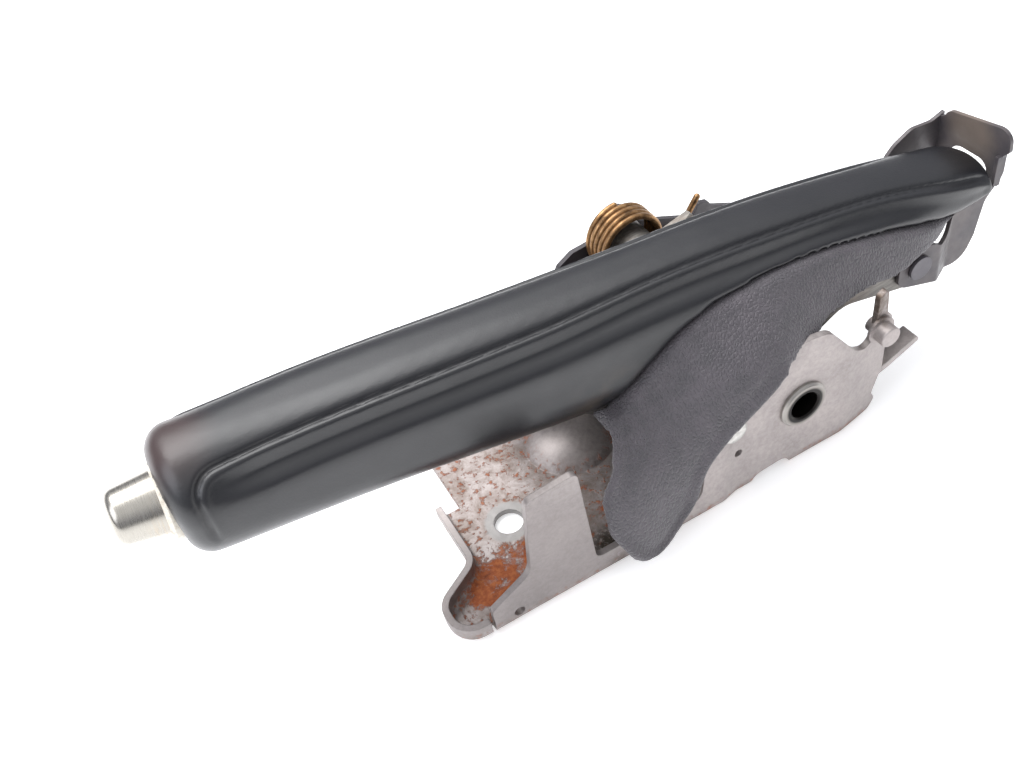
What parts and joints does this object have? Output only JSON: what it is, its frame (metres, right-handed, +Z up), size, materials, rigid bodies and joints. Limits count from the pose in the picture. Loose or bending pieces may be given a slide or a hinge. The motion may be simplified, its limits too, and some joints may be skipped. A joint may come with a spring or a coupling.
{
  "type": "parking brake lever",
  "caption": "Car parking-brake lever on a stamped floor bracket, with soft grip, skirt, release button, ratchet, slack adjuster and tail cover.",
  "frame": {"origin": "centre of the front fixing hole, on the underside of the base plate", "axes": "+X to the rear of the car, +Z up, -Y to the side of the bracket's tab and near wall"},
  "size_m": [0.3226, 0.1339, 0.1102],
  "materials": {
    "zinc": "galvanised stamped sheet",
    "black": "black e-coat on stamped sheet",
    "steel": "bright plated",
    "skin": "smooth skinned soft moulding",
    "grain": "leather-grained moulding",
    "satin": "satin turned",
    "bronze": "bronze-toned phosphated spring wire",
    "plastic": "natural moulding"
  },
  "bodies": {
    "bracket": {"base_bracket": "zinc", "far_support": "black", "floor_rivets": "steel", "pivot_tube": "steel", "stop_pin": "steel", "ratchet_sector": "steel", "cable_peg": "zinc", "spring_hub": "steel", "adjuster_spring": "bronze"},
    "lever": {"lever_fork": "steel", "lever_tube": "steel", "near_bush": "steel", "far_bush": "steel", "drive_wheel": "steel", "pawl_pin": "steel", "pawl_spacers": "plastic", "tail_pin": "zinc", "rod_guide": "plastic", "button_collar": "satin", "grip": "skin", "skirt": "grain", "button_spring": "steel"},
    "button": {"push_button": "satin", "release_rod": "steel"},
    "pawl": {"pawl": "steel"},
    "segment": {"cable_segment": "steel"},
    "segment_pawl": {"adjuster_pawl": "steel"},
    "tail_flap": {"tail_cover": "black"}
  },
  "joints": [
    {"name": "lever_raise", "type": "hinge", "parent": "bracket", "child": "lever", "pos_m": [0.1015, 0, 0.031], "axis": [0, 1, 0], "range_deg": [0, 25]},
    {"name": "button_push", "type": "slide", "parent": "lever", "child": "button", "axis": [0.9903, 0, -0.1392], "range_m": [0, 0.006], "stiffness_N_per_m": 1500, "springref_m": -0.004, "deforming": ["button_spring"]},
    {"name": "pawl_lift", "type": "hinge", "parent": "lever", "child": "pawl", "pos_m": [0.052, 0, 0.0495], "axis": [0, 1, 0], "range_deg": [0, 18]},
    {"name": "slack_take_up", "type": "hinge", "parent": "lever", "child": "segment", "pos_m": [0.1015, 0.052, 0.031], "axis": [0, 1, 0], "range_deg": [0, 20], "deforming": ["adjuster_spring"]},
    {"name": "adjuster_click", "type": "hinge", "parent": "segment", "child": "segment_pawl", "pos_m": [0.1265, 0.046, 0.031], "axis": [0, 1, 0], "range_deg": [0, 8], "stiffness_Nm_per_rad": 0.01, "springref_deg": -11.46},
    {"name": "tail_flap_turn", "type": "hinge", "parent": "lever", "child": "tail_flap", "pos_m": [0.1685, 0, 0.043], "axis": [0, 1, 0], "range_deg": [0, 35]}
  ],
  "couplings": [
    {"joint": "pawl_lift", "follows": "button_push", "rad_per_m": 50.6}
  ]
}
